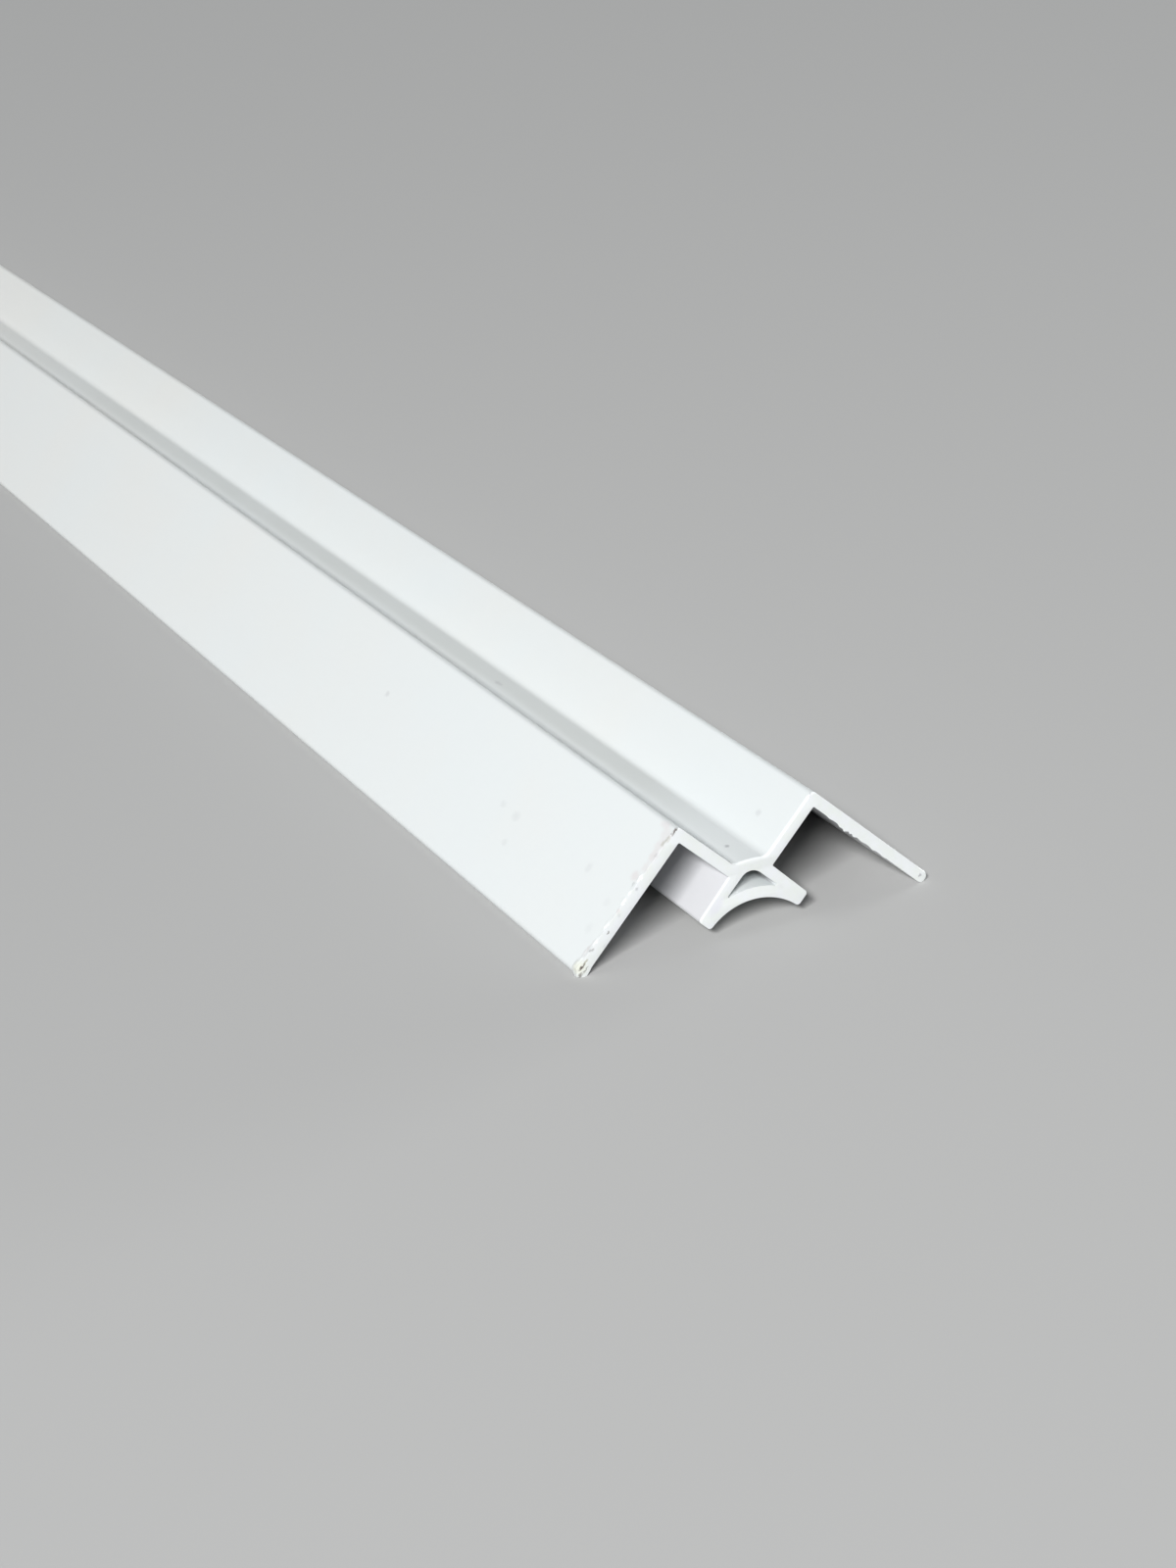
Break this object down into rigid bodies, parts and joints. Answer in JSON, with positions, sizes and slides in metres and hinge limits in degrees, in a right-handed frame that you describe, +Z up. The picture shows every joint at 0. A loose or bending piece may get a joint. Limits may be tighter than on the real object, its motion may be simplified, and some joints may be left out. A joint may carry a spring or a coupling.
{
  "type": "internal corner trim",
  "caption": "Straight extruded trim for the inside corner of panelled walls, with fixing flanges at right angles, slots that take the panels' edges, and a coved front with a hollow behind.",
  "frame": {"origin": "middle of the length, on the mirror plane of the section, at the floor that the flange tips touch", "axes": "+X along the length, +Y across the section, +Z up, from the coved face towards the corner of the room"},
  "size_m": [2.4, 0.0468, 0.0153],
  "materials": {
    "white_pvc": "satin"
  },
  "bodies": {
    "root": {"corner_trim": "white_pvc"}
  },
  "joints": []
}
